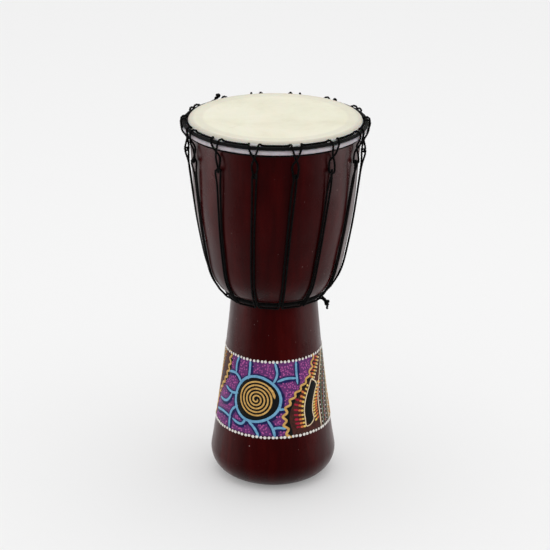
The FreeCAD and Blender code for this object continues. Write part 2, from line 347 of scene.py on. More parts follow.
def skin_material():
    """Scraped goatskin: creamy and faintly mottled, darker towards the rim by painted shade, white over the
    edge by a painted highlight, and grey down to its fold.
    """
    inner = {"Subsurface_Weight": 0.12, "Subsurface_Scale": 0.002}
    material = new_material("goatskin", (0.8, 0.74, 0.6), 0.55, IOR=1.4, **inner)
    n = Nodes(material)
    cloud = n.noise(18, 5, 0.62, None, 0.4)
    fibre = n.noise(260, 5, 0.7, n.scaled(1, 0.35, 1), 1.2)
    dark, middle, light = (0.665, 0.635, 0.49), (0.725, 0.70, 0.56), (0.765, 0.74, 0.62)
    colour = n.ramp(cloud, ((0.3, dark), (0.5, middle), (0.72, light)))
    stain = n.noise(42, 4, 0.7, None, 1.5)
    colour = n.mix(n.span(stain, 0.58, 0.76, 0.0, 0.4), colour, (0.56, 0.50, 0.37))
    colour = n.mix(n.span(fibre, 0.62, 0.8, 0.0, 0.22), colour, (0.62, 0.56, 0.44))
    radius, height = n.radius(), n.axis("Z")
    # painted shade: the tone darkens in two steps towards the rim
    colour = n.mix(n.span(radius, 73.5 * MM, 76.5 * MM, 0.0, 0.25), colour, (0.50, 0.46, 0.40))
    colour = n.mix(n.span(radius, 84.0 * MM, 86.8 * MM, 0.0, 0.45), colour, (0.46, 0.42, 0.37))
    # painted highlight: the skin is made near white over the rounded edge and down the wall to its fold
    over = n.span(height, (HEAD_TOP - 1.6) * MM, (HEAD_TOP - 2.6) * MM)
    colour = n.mix(n.times(over, 0.9), colour, (0.93, 0.93, 0.92))
    fold = n.span(height, (HEAD_TOP - 5.8) * MM, (HEAD_TOP - 7.0) * MM)
    mottled = n.ramp(n.noise(150, 5, 0.7), ((0.3, (0.40, 0.365, 0.395)), (0.7, (0.54, 0.50, 0.53))))
    n.set("Base Color", n.mix(fold, colour, mottled))
    n.set("Roughness", n.span(cloud, 0.3, 0.7, 0.5, 0.68))
    creases = n.noise(90, 4, 0.6, None, 0.8)
    n.bump(((creases, 0.0005), (fibre, 0.00018), (n.noise(1500, 2), 0.00005)))
    return material


def cord_material():
    """Black twisted cord: fine fibres along each strand, dusty on the crowns of the twist."""
    sheen = {"Sheen_Weight": 0.02, "Sheen_Roughness": 0.4}
    material = new_material("black_cord", (0.002, 0.002, 0.002), 0.6, IOR=1.12, **sheen)
    n = Nodes(material)
    along = n.lay()
    fibre = n.noise(1.0, 3, 0.6, n.scaled(22, 1.2, 1, along))
    dust = n.noise(240, 4, 0.6)
    crown = n.axis("Z", along)
    colour = n.ramp(fibre, ((0.3, (0.001, 0.001, 0.001)), (0.75, (0.004, 0.004, 0.004))))
    dusty = n.times(n.span(dust, 0.5, 0.75), n.span(crown, 0.7, 1.0, 0.0, 0.5))
    n.set("Base Color", n.mix(dusty, colour, (0.03, 0.03, 0.03)))
    n.set("Roughness", n.span(fibre, 0.3, 0.7, 0.5, 0.75))
    n.bump(((fibre, 0.00025), (n.noise(2500, 2), 0.00006)))
    return material


def cloth_material():
    """Black cotton tape wound round a ring."""
    sheen = {"Sheen_Weight": 0.05, "Sheen_Roughness": 0.5}
    material = new_material("black_tape", (0.004, 0.004, 0.004), 0.8, IOR=1.13, **sheen)
    n = Nodes(material)
    along = n.lay()
    thread = {"Vector": along, "Scale": 1.1, "Distortion": 0.6}
    warp, weft = (n.add("ShaderNodeTexWave", thread, bands_direction=way).outputs["Fac"] for way in "XY")
    weave = n.times(warp, weft)
    fuzz = n.noise(700, 4, 0.7)
    colour = n.ramp(weave, ((0.0, (0.002, 0.002, 0.002)), (1.0, (0.008, 0.008, 0.008))))
    n.set("Base Color", n.mix(n.span(fuzz, 0.62, 0.78, 0.0, 0.35), colour, (0.035, 0.035, 0.033)))
    n.set("Roughness", n.span(fuzz, 0.3, 0.7, 0.62, 0.85))
    n.bump(((weave, 0.0002), (fuzz, 0.00015)))
    return material


def steel_material():
    """Plain drawn rod with a little surface rust."""
    material = new_material("drawn_steel", (0.35, 0.34, 0.33), 0.4, Metallic=0.9)
    n = Nodes(material)
    rust = n.noise(120, 6, 0.7)
    bright, dull, rusty = (0.33, 0.32, 0.31), (0.26, 0.2, 0.16), (0.19, 0.08, 0.035)
    n.set("Base Color", n.ramp(rust, ((0.4, bright), (0.6, dull), (0.75, rusty))))
    n.set("Roughness", n.span(rust, 0.3, 0.75, 0.28, 0.75))
    n.bump(((rust, 0.0002),))
    return material


def paint_material(name, colour, other, rough):
    """Thick acrylic, its colour varying between two tones as the brush left it."""
    material = new_material(name, colour, rough, IOR=1.2)
    n = Nodes(material)
    tone = n.noise(260, 4, 0.6)
    n.set("Base Color", n.ramp(tone, ((0.32, other), (0.6, colour))))
    n.set("Roughness", n.span(tone, 0.3, 0.7, rough - 0.1, rough + 0.14))
    n.bump(((n.noise(650, 3, 0.6), 0.00012),))
    return material


# ---- cords ----
FINE_STEP = 0.3  # distance between the points that follow a cord's line before it is thinned out
SHARP_TURN = 0.2  # radians that a cord may turn between two of its kept points


def line_of(points, closed=False):
    """The smooth line of a route: a quadratic NURBS spline that has the route's points as control points."""
    curve = bpy.data.curves.new("route", "CURVE")
    curve.dimensions = "3D"
    route = curve.splines.new("NURBS")
    route.points.add(len(points) - 1)
    for point, at in zip(route.points, points):
        point.co = (at.x, at.y, at.z, 1)
    route.order_u = 3
    route.use_endpoint_u = not closed
    route.use_cyclic_u = closed
    route.resolution_u = 10
    obj = bpy.data.objects.new("route", curve)
    mesh = bpy.data.meshes.new_from_object(obj)
    line = np.array([v.co[:] for v in mesh.vertices])
    bpy.data.objects.remove(obj)
    bpy.data.curves.remove(curve)
    bpy.data.meshes.remove(mesh)
    return np.vstack([line, line[:1]]) if closed else line


def evenly(line, step):
    """Points along a line and their distances: a step apart where it is straight, closer where it bends."""
    along = np.concatenate([[0.0], np.cumsum(np.linalg.norm(np.diff(line, axis=0), axis=1))])
    fine = np.arange(0.0, along[-1], FINE_STEP)
    points = np.column_stack([np.interp(fine, along, line[:, k]) for k in range(3)])
    ways = np.diff(points, axis=0)
    ways /= np.linalg.norm(ways, axis=1)[:, None]
    kept, turned, gone = [0], 0.0, 0.0
    for i in range(1, len(points) - 1):
        gone += FINE_STEP
        turned += math.acos(min(1.0, float(ways[i] @ ways[i - 1])))
        if gone >= step or turned > SHARP_TURN:
            kept.append(i)
            turned, gone = 0.0, 0.0
    kept.append(len(points) - 1)
    return points[kept], fine[kept]


def three_strands(radius):
    """The outline of three strands laid together: (radius, angle, how far out on its strand)."""
    off, own = 0.55 * radius, 0.47 * radius  # a strand's distance from the middle, and its own radius
    outline = []
    for strand in range(3):
        for degrees in (-50, -25, 0, 25, 50):
            a = math.radians(degrees)
            r = off * math.cos(a) + math.sqrt(own**2 - (off * math.sin(a)) ** 2)
            outline.append((r, a + strand * math.tau / 3, r / radius))
    return outline


def cord_mesh(line, radius, lay, step, rough):
    """Verts, faces and lay coordinates of a twisted cord; it makes one turn of its twist in each lay."""
    points, along = evenly(line, step)
    ways = np.gradient(points, axis=0)
    ways /= np.linalg.norm(ways, axis=1)[:, None]
    side = np.cross(ways[0], (0.0, 0.0, 1.0))
    outline = three_strands(radius)
    verts, coords = [], []
    for point, way, s in zip(points, ways, along):
        side = side - way * (side @ way)
        side /= np.linalg.norm(side)
        up = np.cross(way, side)
        twist = math.tau * s / lay
        swell = 1.0 + rough * noise.noise((s * 0.12, 0.0, 0.0))
        for r, a, crown in outline:
            t = a + twist
            verts.append(point + (side * math.cos(t) + up * math.sin(t)) * r * swell)
            coords.append((a / math.tau, s / lay, crown))
    faces = grid_faces(len(points), len(outline), close_cols=True)
    n = len(outline)
    faces.append(tuple(range(n)))
    faces.append(tuple(reversed(range(len(verts) - n, len(verts)))))
    return verts, faces, coords


def hitch_azimuth(number):
    return (number + 0.5) * HITCH_STEP


def crown_loop(azimuth, loose):
    """One loop over the crown ring: down to its link with the lacing and back up, crossing itself."""
    over = [(LOOP_HALF, *GROOVE), (6.2, 91.9, 398.0), (5.5, 93.0, 398.75), (5.1, 95.6, 398.75)]
    over += [(4.6, 97.95, 396.6), (3.9 - loose, 97.7, 393.2)]
    down = [(-2.6, 96.5, 389.0), (-1.1, 93.65, 384.7), (1.0, 91.35, 380.8)]
    down += [(2.9 - loose, 91.2, 377.0), (3.2 - loose, 92.5, 372.0), (2.1, 93.7, 367.2)]
    low = LINK_H - LINK_CLEAR
    link = [(LINK_HALF, LINK_R + LINK_HALF, low), (-LINK_HALF, LINK_R - LINK_HALF, low)]
    up = [(-2.1, 89.9, 367.2), (-3.2 + loose, 90.6, 372.0), (-3.0, 91.7, 377.0)]
    up += [(-1.0, 94.45, 380.8), (1.1, 96.55, 384.7), (2.6, 97.2, 389.0)]
    return local(azimuth, [(-side, r, h) for side, r, h in over] + down + link + up + over[::-1])


def groove(start, end, steps):
    """Points on the cord's way between two loops, from one azimuth to another."""
    return [place(start + (end - start) * i / steps, *GROOVE) for i in range(1, steps)]


def crown_rope_route(chance):
    """From the knot through all the loops and back to it."""
    last = round(CROWN_KNOT_AZIMUTH / HITCH_STEP - 0.5) + HITCHES
    beside = math.degrees(LOOP_HALF / GROOVE[0])
    start = CROWN_KNOT_AZIMUTH + 3.2
    points = [place(start, *CROWN_END)]
    points += groove(start, hitch_azimuth(last - HITCHES + 1) - beside, 4)
    for number in range(last - HITCHES + 1, last):
        here = hitch_azimuth(number)
        points += crown_loop(here, chance.uniform(-0.3, 0.3))
        points += groove(here + beside, here + HITCH_STEP - beside, 4)
    points += crown_loop(hitch_azimuth(last), 0.0)[:-2]
    return points


def fall(azimuth, side, sway):
    """One fall of the lacing, from under its link down over the bowl to the shoulder."""
    off = LACING_CORD + 0.4
    low_r, low_h = off_bowl(300.0, off)
    points = [(360.5, 1.9, LINK_R - side * LINK_HALF)]
    for height, half in ((350.0, 2.0), (332.0, 1.8), (312.0, 1.6)):
        share = (height - low_h) / (LINK_H - low_h)
        points.append((height, half, low_r + share * (LINK_R - low_r)))
    for surface in (294, 276, 261, 248, 238, 230, 224, 220):
        radius, height = off_bowl(surface, off)
        points.append((height, PAIR_HALF, radius))
    total = LINK_H - WAIST_RING_H
    made = []
    for h, half, r in points:
        gone = (LINK_H - h) / total
        sideways = side * half + sway * math.sin(math.pi * gone)
        made.append(place(azimuth + LEAN * gone + math.degrees(sideways / r), r, h))
    return made


def under_ring(azimuth, side):
    """Where a fall goes round the outside of the waist ring and turns along under it."""
    half = side * PAIR_HALF
    points = [(half, 60.9, 216.0), (half, 56.4, 211.1), (half * 1.3, 54.0, 207.7), (half * 2.6, 51.2, 206.6)]
    return local(azimuth + LEAN, points)


def lacing_route(chance):
    """From the knot up and down between the loops and the waist, and back to it."""
    first = math.ceil((LACING_KNOT_AZIMUTH - LEAN) / HITCH_STEP - 0.5)
    tail = [(2.2, 53.4, 206.1), (1.8, 56.0, 204.9), (1.7, 57.4, 203.1)]
    points = [place(LACING_KNOT_AZIMUTH + side, r, h) for side, r, h in tail[::-1]]
    for number in range(first, first + HITCHES):
        here = hitch_azimuth(number)
        sway = chance.uniform(-0.5, 0.5)
        points += under_ring(here, -1)[::-1]
        points += fall(here, -1, sway)[::-1]
        high = LINK_H + LINK_CLEAR
        points += local(here, [(-LINK_HALF, LINK_R + LINK_HALF, high), (LINK_HALF, LINK_R - LINK_HALF, high)])
        points += fall(here, 1, sway)
        points += under_ring(here, 1)
    return points + [place(LACING_KNOT_AZIMUTH - side, r, h) for side, r, h in tail]


def knot_line(azimuth, radius, height, size, turns, tail):
    """A small tight knot: a cord wound back through itself in a ball, with a tail."""
    centre = place(azimuth, radius, height)
    out = place(azimuth, 1.0, 0.0)
    across = place(azimuth + 90, 1.0, 0.0)
    points = []
    for i in range(int(turns * 10) + 1):
        t = math.tau * i / 10
        a, b, c = size * math.cos(t), size * math.sin(t), 0.62 * size * math.sin(1.5 * t + 0.6)
        points.append(centre + across * a + Vector((0, 0, 1)) * b + out * c)
    return points + [place(azimuth + da, radius + dr, height + dh) for da, dr, dh in tail]


def build_cords():
    chance = random.Random(14)
    crown = line_of(crown_rope_route(chance))
    lacing = line_of(lacing_route(chance))
    around = [place(6.0 * i, BINDING_R, BINDING_H + 0.18 * math.sin(1.9 * i)) for i in range(60)]
    binding = line_of(around, closed=True)
    tail = ((2.4, 0.2, -1.0), (3.0, -1.0, -2.6))
    top_knot = line_of(knot_line(CROWN_KNOT_AZIMUTH, *CROWN_KNOT, 1.6, 1.8, tail))
    tail = ((-2.2, 1.2, -3.6), (-3.4, 1.6, -5.8))
    low_knot = line_of(knot_line(LACING_KNOT_AZIMUTH, *LACING_KNOT, 2.15, 2.2, tail))
    black = cord_material()
    # name, CAD node, line, radius, lay, step and unevenness
    for name, node, *cord in (
        ("crown_rope_laid", "crown_rope", crown, CROWN_CORD, 7.5, 1.0, 0.05),
        ("binding_cord_laid", "binding_cord", binding, BINDING_CORD, 7.0, 1.0, 0.0),
        ("lacing_rope_laid", "lacing_rope", lacing, LACING_CORD, 9.0, 1.4, 0.05),
        ("crown_rope_knot_tied", "crown_rope_knot", top_knot, 1.15, 6.0, 0.6, 0.0),
        ("lacing_knot_tied", "lacing_knot", low_knot, 1.35, 8.0, 0.7, 0.0),
    ):
        verts, faces, coords = cord_mesh(*cord)
        keep_lay(mesh_piece(name, verts, faces, (black,), (node,)), coords)


# ---- rings ----
def tape_wound_ring(name, ring_radius, height, steel, wraps, material, replaced):
    """A ring bound with overlapping turns of tape: each turn stands a little over the one before."""
    around, section = wraps * 10, 18
    lap, unevenness = 0.28, 0.06
    verts, inner, coords = [], [], []
    for i in range(around):
        azimuth = 360.0 * i / around
        for j in range(section):
            a = math.tau * j / section
            across, up = math.cos(a), math.sin(a)
            turn = (wraps * i / around + j / section) % 1.0
            uneven = unevenness * noise.noise((i * 0.11, j * 0.7, steel + CLOTH))
            radius = steel + CLOTH - lap * (1.0 - turn) + uneven
            verts.append(place(azimuth, ring_radius + radius * across, height + radius * up))
            inner.append(place(azimuth, ring_radius + steel * across, height - steel * up))
            coords.append((wraps * i / around * 9, j * 0.5, turn))
    faces = grid_faces(around, section, True, True)
    faces += [tuple(k + len(verts) for k in face) for face in faces]
    coords += [(0.0, 0.0, 0.0)] * len(inner)
    piece = mesh_piece(name, verts + inner, faces, (material,), (replaced,), outward=False)
    keep_lay(piece, coords)


def build_rings():
    tape = cloth_material()
    tape_wound_ring("crown_ring_tape", CROWN_RING_R, CROWN_H, CROWN_STEEL, 72, tape, "crown_ring_cloth")
    tape_wound_ring("waist_ring_tape", WAIST_RING_R, WAIST_RING_H, WAIST_STEEL, 40, tape, "waist_ring_cloth")
    steel = steel_material()
    for node in ("crown_ring", "waist_ring", "flesh_hoop"):
        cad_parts[node].data.materials.clear()
        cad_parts[node].data.materials.append(steel)


# ---- wood and skin ----
NECK_R = 44.0  # a little less than the outside's narrowest radius
SEAT_H = 382.0  # the wall is left true from here up, under the skin and its cords
RING_SEAT_H = 212.0  # the outside is left true round this height too, under the waist ring


def shell_section():
    """The shell's closed section, and how many of its points are on the outside."""
    edge = (WALL_R - EDGE_ROUND, WALL_TOP)
    top = HEAD_TOP - SKIN
    mouth = (MOUTH_R + MOUTH_ROUND, MOUTH_ROUND)
    outside = run((mouth[0], 0.0), (FOOT_FACE_R, 0.0), 2)
    outside += arc((FOOT_FACE_R, 0.0), FOOT_BELLY, FOOT_TOP, 20)
    outside += arc(FOOT_TOP, STEM_MIDDLE, WAIST, 60)
    outside += UNDERSIDE
    outside += BOWL[:-1:2]
    outside += run((WALL_R, HOOP_H), (WALL_R, WALL_TOP), 3)
    outside += round_arc(edge, EDGE_ROUND, 0, 90, 6)
    inside = run((edge[0], top), (EDGE_INNER_R, top), 2) + run((EDGE_INNER_R, top), CHAMBER[-1], 4)
    inside += spline(CHAMBER[::-1] + ((THROAT_R, THROAT_HIGH),), 36)
    inside += run((THROAT_R, THROAT_HIGH), (THROAT_R, THROAT_LOW), 6)
    inside += run((THROAT_R, THROAT_LOW), (MOUTH_R, MOUTH_ROUND), 30)
    inside += round_arc(mouth, MOUTH_ROUND, 180, 270, 5)
    return outside + inside, len(outside)


def outside_radius(height):
    """The outline's radius at a height, and the foot's smallest radius for any height on the foot."""
    if height <= FOOT_TOP[1]:
        return FOOT_FACE_R
    if height < WAIST[1]:
        return stem_radius(height)
    above = UNDERSIDE + BOWL
    return np.interp(height, [p[1] for p in above], [p[0] for p in above])


def carve(azimuth, radius, height):
    """The small unevenness of hand-turned wood outside, and the gouge's facets inside.

    Outside it fades out at the foot's face, the painting, the waist ring and the wall under the skin.
    """
    a = math.radians(azimuth)
    if radius > NECK_R and height < SEAT_H and radius > 0.93 * outside_radius(height):
        painted = abs(height - (BAND_LOW + BAND_HIGH) / 2) - (BAND_HIGH - BAND_LOW) / 2 - 5.0
        easing = min((SEAT_H - height) / 20.0, height / 8.0, abs(height - RING_SEAT_H) / 9.0, painted / 8.0)
        easing = max(0.0, min(1.0, easing))
        at = Vector((math.cos(a), math.sin(a), height * 0.012))
        return radius + easing * (0.3 * noise.noise(at * 1.7) + 0.08 * noise.noise(at * 9)), height
    if THROAT_R - 1 < radius < 80.0 and 6.0 < height < 384.0:
        facet = Vector((math.cos(a) * 7, math.sin(a) * 7, height * 0.045))
        return radius + 0.315 * (noise.cell(facet) - 0.5) + 0.5 * noise.noise(facet), height
    return radius, height


def build_shell():
    section, outside = shell_section()
    verts, faces = lathe(section, 240, carve)
    wood = (lacquer_material(), raw_wood_material())
    obj = mesh_piece("shell_carved", verts, faces, wood, ("shell",))
    raw = range(outside + 2, len(section) - 6)  # from inside the bearing edge down to the mouth's rounding
    for polygon in obj.data.polygons:
        polygon.material_index = int(polygon.index % len(section) in raw)


def skin_section():
    """Out along the skin's top, down the wall, round the hoop and back along its underside."""
    edge, hoop = (WALL_R - EDGE_ROUND, WALL_TOP), (HOOP_R, HOOP_H)
    near, tuck = HOOP_STEEL + GAP, 130  # the fold's inner radius, and the angle of its cut end
    middle, flat, rim = 0.4, 3.0, edge[0] - 9
    outer = [(middle, HEAD_TOP)] + run((flat, HEAD_TOP), (rim, HEAD_TOP), 26)
    outer += run((rim, HEAD_TOP), (edge[0], HEAD_TOP), 9)
    outer += round_arc(edge, EDGE_ROUND + SKIN, 90, 0, 8)
    outer += run((WALL_R + SKIN, WALL_TOP), (WALL_R + SKIN, HOOP_H), 4)
    outer += round_arc(hoop, near, -180, tuck, 30)
    outer += round_arc(hoop, near + SKIN, tuck, -180, 40)
    inner = run((WALL_R, HOOP_H), (WALL_R, WALL_TOP), 4)
    inner += round_arc(edge, EDGE_ROUND, 0, 90, 8)
    inner += run((edge[0], HEAD_TOP - SKIN), (flat, HEAD_TOP - SKIN), 14)
    return outer + inner + [(middle, HEAD_TOP - SKIN)]


def pull(azimuth, radius, height):
    """The skin's own unevenness: a faint dish inside the rim, and puckers where it is folded on its hoop."""
    a = math.radians(azimuth)
    flat_r, dish_r = 88.0, 82.0
    if radius < flat_r and height > HEAD_TOP - 3.0:
        dish = -0.35 * math.exp(-(((radius - dish_r) / 2.4) ** 2))
        ripple = 0.05 * noise.noise((radius * math.cos(a) * 0.09, radius * math.sin(a) * 0.09, 0.0))
        return radius, height + (dish + ripple) * min(1.0, (flat_r - radius) / 3.0)
    off = math.hypot(radius - HOOP_R, height - HOOP_H)
    if off > HOOP_STEEL + 0.5 and radius > HOOP_R:
        pucker = 0.16 * noise.noise((math.cos(a) * 22, math.sin(a) * 22, height * 0.25)) + 0.05
        scale = (off + pucker) / off
        return HOOP_R + (radius - HOOP_R) * scale, HOOP_H + (height - HOOP_H) * scale
    return radius, height


def build_skin():
    verts, faces = lathe(skin_section(), 288, pull, closed=False)
    obj = mesh_piece("goatskin_head", verts, faces, (skin_material(),), ("drumhead_skin",))


# ---- painting on the stem ----
BAND_R = 57.0  # radius at which a millimetre sideways in the painting is a millimetre of wood
RIDGE = ((-1, 0.0), (-0.72, 0.75), (0, 1.0), (0.72, 0.75), (1, 0.0))  # a stroke's section: (across, up)
DROP = ((1.0, 0.0), (0.86, 0.6), (0.5, 0.92))  # a dot's section: (share of its radius, up)


class Paint:
    """One colour of paint: raised strokes, dots and patches, gathered into one mesh.

    A point of the painting is (sideways, height), and out is how far the paint stands off the wood.
    """

    def __init__(self, name, material):
        self.name, self.material = name, material
        self.verts, self.faces = [], []

    def at(self, x, z, out):
        return place(math.degrees(x / BAND_R), stem_radius(z) + out, z)

    def add(self, verts, faces):
        start = len(self.verts)
        self.verts += verts
        self.faces += [tuple(i + start for i in face) for face in faces]

    def stroke(self, points, width, out, taper=0.35, closed=False):
        """A brush stroke along points: a low rounded ridge, narrower at its ends."""
        if closed:
            line = spline([points[-1], *points, points[0]], 6 * len(points))
        else:
            line = spline(points, max(4, 6 * (len(points) - 1))) + [points[-1]]
        count, low = len(line), 0.05
        verts = []
        for i, (x, z) in enumerate(line):
            before, after = line[max(0, i - 1)], line[min(count - 1, i + 1)]
            dx, dz = after[0] - before[0], after[1] - before[1]
            length = math.hypot(dx, dz) or 1.0
            nx, nz = -dz / length, dx / length
            end = 1.0 if closed else min(1.0, taper + (1 - taper) * min(i, count - 1 - i) / 2.0)
            w = width / 2 * end * (1 + 0.12 * noise.noise((x * 0.4, z * 0.4, out * 3)))
            for across, up in RIDGE:
                verts.append(self.at(x + nx * w * across, z + nz * w * across, low + (out - low) * up))
            verts.append(self.at(x, z, 0.0))
        faces = grid_faces(count, 6, close_cols=True)
        faces += [tuple(range(6)), tuple(reversed(range(len(verts) - 6, len(verts))))]
        self.add(verts, faces)

    def dot(self, x, z, radius, out, sides=10):
        """A round drop of paint."""
        verts = []
        for share, up in DROP:
            for i in range(sides):
                t, r = math.tau * i / sides, radius * share
                verts.append(self.at(x + r * math.cos(t), z + r * math.sin(t), out * up))
        verts.append(self.at(x, z, out))
        verts.append(self.at(x, z, -0.02))
        faces = grid_faces(3, sides, close_cols=True)
        top, low = 3 * sides, 3 * sides + 1
        faces += [(2 * sides + i, 2 * sides + (i + 1) % sides, top) for i in range(sides)]
        faces += [((i + 1) % sides, i, low) for i in range(sides)]
        self.add(verts, faces)

    def patch(self, left, right, out):
        """Flat paint over the band between two edges, each a function from height to sideways place."""
        rows, cols = 40, 48
        verts = []
        for layer in (out, 0.0):
            for i in range(rows + 1):
                z = BAND_LOW + (BAND_HIGH - BAND_LOW) * i / rows
                a, b = left(z), right(z)
                verts += [self.at(a + (b - a) * j / cols, z, layer) for j in range(cols + 1)]
        size, width = (rows + 1) * (cols + 1), cols + 1
        top = grid_faces(rows + 1, width)
        faces = top + [tuple(reversed([k + size for k in face])) for face in top]
        rim = [*range(cols), *(i * width + cols for i in range(rows))]
        rim += [*(rows * width + j for j in range(cols, 0, -1)), *(i * width for i in range(rows, 0, -1))]
        faces += [(a, b, b + size, a + size) for a, b in zip(rim, rim[1:] + rim[:1])]
        self.add(verts, faces)

    def blob(self, x, z, outline, out):
        """A filled shape round a centre; outline is a function from angle to radius."""
        rings, sides = 6, 64
        verts = []
        for layer, shares in ((out, range(rings, 0, -1)), (0.0, range(1, rings + 1))):
            for k in shares:
                for i in range(sides):
                    t = math.tau * i / sides
                    r = outline(t) * k / rings
                    verts.append(self.at(x + r * math.cos(t), z + r * math.sin(t), layer))
        verts += [self.at(x, z, out), self.at(x, z, 0.0)]
        size = rings * sides
        last, centre = 2 * size - sides, 2 * size
        top = grid_faces(rings, sides, close_cols=True)
        faces = top + [tuple(k + size for k in face) for face in top]
        for i in range(sides):
            j = (i + 1) % sides
            faces.append((size - sides + i, size - sides + j, centre))
            faces.append((size + j, size + i, centre + 1))
            faces.append((i, j, last + j, last + i))
        self.add(verts, faces)

    def build(self, replaced):
        mesh_piece(self.name, self.verts, self.faces, (self.material,), replaced)


def zigzag(points, count, swing):
    """A wavering zigzag along a guiding line through points."""
    guide = spline(points, count) + [points[-1]]
    return [(x + swing * (1 if i % 2 else -1), z) for i, (x, z) in enumerate(guide)]


def edge_function(points):
    """A guiding line as a function from height to sideways place."""
    line = sorted((spline(points, 60) + [points[-1]]), key=lambda p: p[1])
    heights, places = [p[1] for p in line], [p[0] for p in line]
    return lambda z: float(np.interp(z, heights, places))


def near(x, z, lines):
    return min(math.hypot(x - a, z - b) for line in lines for a, b in line)


# ---- the painting's own layout; it is drawn twice round the stem ----
REPEAT = math.pi * BAND_R
LEFT_EDGE = ((-60, 147), (-61, 130), (-68, 112), (-80, 94), (-88, 62))
RIGHT_EDGE = ((54, 147), (46, 128), (29, 112), (17, 99), (12, 86), (17, 62))
MEDALLION = (-18.5, 103.5, 23.5)  # its centre and radius
WEB = (
    ((-29, 124), (-28, 134), (-28, 146)),
    ((-1, 121), (4, 131), (1, 146)),
    ((4, 124), (14, 127), (27, 126)),
    ((27, 146), (27, 134), (28, 119)),
    ((5, 95), (8, 93.5), (12, 94)),
    ((-6, 82), (0, 72), (2, 63)),
    ((0, 72.5), (6, 73.5), (13, 72)),
    ((-29, 81), (-33, 74), (-46, 76)),
    ((-27, 79), (-20, 73), (-14, 63)),
    ((-41, 106), (-50, 104), (-63, 107)),
    ((-40, 92), (-47, 86), (-49, 63)),
    ((-37, 117), (-46, 126), (-61, 124)),
    ((-47, 127), (-47, 138), (-44, 146)),
    ((-50, 104), (-58, 92), (-74, 90)),
    ((-48, 76), (-60, 78), (-80, 74)),
)
CRESCENT = ((52, 117), (44.5, 104), (40, 89), (41.5, 72))
PLUME = ((68, 142), (62, 134), (56, 125), (50, 117.5))
STRIPE = ((75, 6.0, 146), (65, 6.4, 124), (57, 6.4, 100), (56, 5.6, 80), (57, 4.8, 63))  # place, step, height
COLOURS = {  # each paint's colour, second tone and roughness
    "brown": ((0.075, 0.02, 0.014), (0.03, 0.01, 0.008), 0.45),
    "purple": ((0.155, 0.035, 0.165), (0.085, 0.025, 0.12), 0.42),
    "magenta": ((0.48, 0.11, 0.34), (0.34, 0.07, 0.28), 0.42),
    "navy": ((0.012, 0.013, 0.1), (0.007, 0.008, 0.05), 0.4),
    "blue": ((0.19, 0.43, 0.62), (0.12, 0.31, 0.5), 0.4),
    "black": ((0.003, 0.004, 0.004), (0.002, 0.003, 0.003), 0.45),
    "ochre": ((0.68, 0.42, 0.13), (0.5, 0.27, 0.075), 0.4),
    "crimson": ((0.4, 0.015, 0.045), (0.24, 0.01, 0.028), 0.42),
    "orange": ((0.68, 0.2, 0.06), (0.56, 0.13, 0.04), 0.42),
    "yellow": ((0.8, 0.58, 0.15), (0.72, 0.43, 0.09), 0.42),
    "cream": ((0.82, 0.7, 0.48), (0.74, 0.58, 0.36), 0.42),
    "green": ((0.17, 0.26, 0.17), (0.1, 0.17, 0.11), 0.42),
    "grey": ((0.3, 0.29, 0.29), (0.2, 0.19, 0.2), 0.42),
    "white": ((0.84, 0.81, 0.77), (0.74, 0.7, 0.65), 0.42),
}


def medallion_edge(extra):
    """The wavering round outline of the medallion, as a function from angle to radius."""
    _, _, radius = MEDALLION
    return lambda t: (radius + extra) * (1 + 0.035 * math.sin(2 * t + 0.7) + 0.03 * math.sin(3 * t + 2.0))


def web(paints, lines, ring):
    """The blue web and the ring round the medallion, each over its dark shadow."""
    for line in lines:
        paints["navy"].stroke([(a + 0.9, b - 0.8) for a, b in line], 8.6, 0.22)
        paints["blue"].stroke(line, 3.1, 0.44)
    paints["navy"].stroke([(a + 0.7, b - 0.8) for a, b in ring], 9.4, 0.22, closed=True)
    paints["blue"].stroke(ring, 3.5, 0.46, closed=True)


def medallion(paints, x0):
    """The black medallion and its ochre spiral, which starts in the middle and ends thicker."""
    x, z, radius = MEDALLION
    paints["black"].blob(x + x0, z, medallion_edge(0.4), 0.3)
    turns, per_turn = 5.1, 16
    spiral = []
    for i in range(int(turns * per_turn) + 1):
        r = 1.2 + (radius - 4.2) * (i / per_turn) / turns
        angle = 0.5 - math.tau * (i / per_turn)
        spiral.append((x + x0 + r * math.cos(angle), z + r * math.sin(angle)))
    paints["ochre"].stroke(spiral, 2.15, 0.62)
    paints["ochre"].stroke(spiral[-3:], 3.4, 0.66)


def speckle(paints, x0, lines, ring, chance):
    """Magenta dots over the purple, clear of the web, the medallion and the zigzags."""
    left, right = edge_function(LEFT_EDGE), edge_function(RIGHT_EDGE)
    x, z, radius = MEDALLION
    drawn = [spline(line, 14) for line in lines] + [spline(ring + ring[:1], 90)]
    for i in range(50):
        for j in range(34):
            a = -88 + i * 2.9 + chance.uniform(-1.1, 1.1)
            b = BAND_LOW + 2.5 + j * 2.4 + chance.uniform(-0.9, 0.9)
            on_purple = b <= BAND_HIGH - 3 and left(b) + 3.4 < a < right(b) - 3.2
            if not on_purple or math.hypot(a - x, b - z) < radius + 4.4:
                continue
            if near(a + x0, b, drawn) > 4.0 and chance.random() < 0.8:
                paints["magenta"].dot(a + x0, b, chance.uniform(0.75, 1.15), 0.36, 7)


def zigzags(paints, x0):
    """The ochre zigzags along both edges of the purple, each over its black shadow."""
    for edge in (LEFT_EDGE, RIGHT_EDGE):
        guide = [(a + x0, b) for a, b in edge]
        paints["black"].stroke([(a + 2.6, b) for a, b in guide], 6.5, 0.2)
        paints["ochre"].stroke(zigzag(guide, 21, 1.9), 2.9, 0.55)


